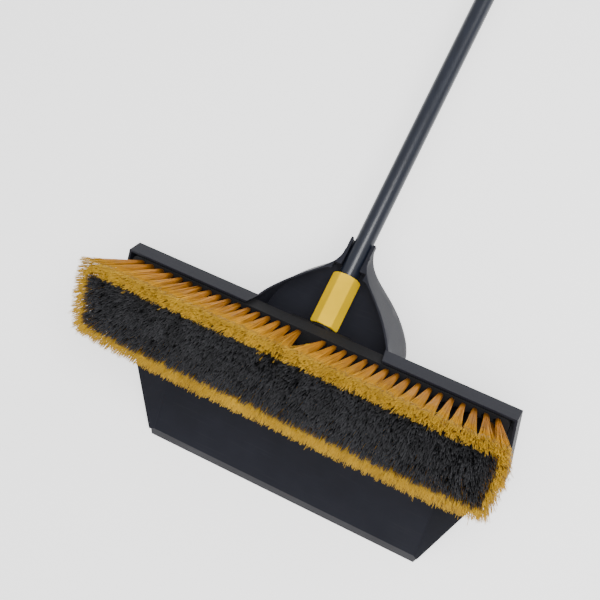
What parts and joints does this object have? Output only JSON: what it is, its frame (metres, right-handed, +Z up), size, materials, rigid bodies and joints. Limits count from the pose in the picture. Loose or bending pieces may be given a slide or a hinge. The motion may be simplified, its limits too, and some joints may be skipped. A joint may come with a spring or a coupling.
{
  "type": "push broom and dust pan set",
  "caption": "Push broom lying in its clip-on dust pan: flared yellow and black bristles, hex locking collar, long steel handle, and a wide pan whose throat snaps on to the handle.",
  "frame": {"origin": "centre of the footprint's bounding box, on the surface that the set lies on", "axes": "+Z up, +X along the brush block, +Y from the pan's lip towards the far end of the handle"},
  "size_m": [0.506, 1.4826, 0.2648],
  "materials": {
    "pan_plastic": "fine satin moulding",
    "lip_rubber": "soft matte",
    "block_plastic": "fine satin moulding",
    "hub_plastic": "fine satin moulding",
    "handle_paint": "satin powder coat",
    "cap_plastic": "satin",
    "collar_yellow": "satin moulding",
    "insert_yellow": "satin moulding",
    "ring_nylon": "natural nylon",
    "fastener_steel": "zinc plated",
    "anchor_wire": "flat wire",
    "yellow_bristle": "flagged filaments",
    "black_bristle": "flagged filaments"
  },
  "bodies": {
    "pan": {"pan_shell": "pan_plastic", "lip_strip": "lip_rubber"},
    "broom_head": {"brush_block": "block_plastic", "tuft_anchors": "anchor_wire", "block_insert": "insert_yellow", "insert_bolt": "fastener_steel", "hub_socket": "hub_plastic", "hub_screws": "fastener_steel", "yellow_tufts_back_right": "yellow_bristle", "yellow_tufts_back_left": "yellow_bristle", "yellow_tufts_front": "yellow_bristle", "yellow_tufts_right_end": "yellow_bristle", "yellow_tufts_left_end": "yellow_bristle", "black_tufts_front": "black_bristle", "black_tufts_middle": "black_bristle", "black_tufts_back": "black_bristle"},
    "ring": {"compression_ring": "ring_nylon"},
    "collar": {"locking_collar": "collar_yellow"},
    "handle": {"handle_tube": "handle_paint", "handle_cap": "cap_plastic", "cap_rivet": "fastener_steel"}
  },
  "joints": [
    {"name": "broom_lift", "type": "slide", "parent": "pan", "child": "broom_head", "axis": [0, -0.6121, 0.7908], "range_m": [0, 0.15]},
    {"name": "collar_advance", "type": "slide", "parent": "broom_head", "child": "ring", "axis": [0, 0.994, -0.1091], "range_m": [0, 0.0081]},
    {"name": "collar_turn", "type": "hinge", "parent": "ring", "child": "collar", "pos_m": [0, -0.5027, 0.14737], "axis": [0, 0.994, -0.1091], "range_deg": [0, 720]},
    {"name": "handle_pull", "type": "slide", "parent": "broom_head", "child": "handle", "axis": [0, 0.994, -0.1091], "range_m": [0, 0.055]}
  ],
  "couplings": [
    {"joint": "collar_advance", "follows": "collar_turn", "m_per_rad": 0.00063662}
  ]
}
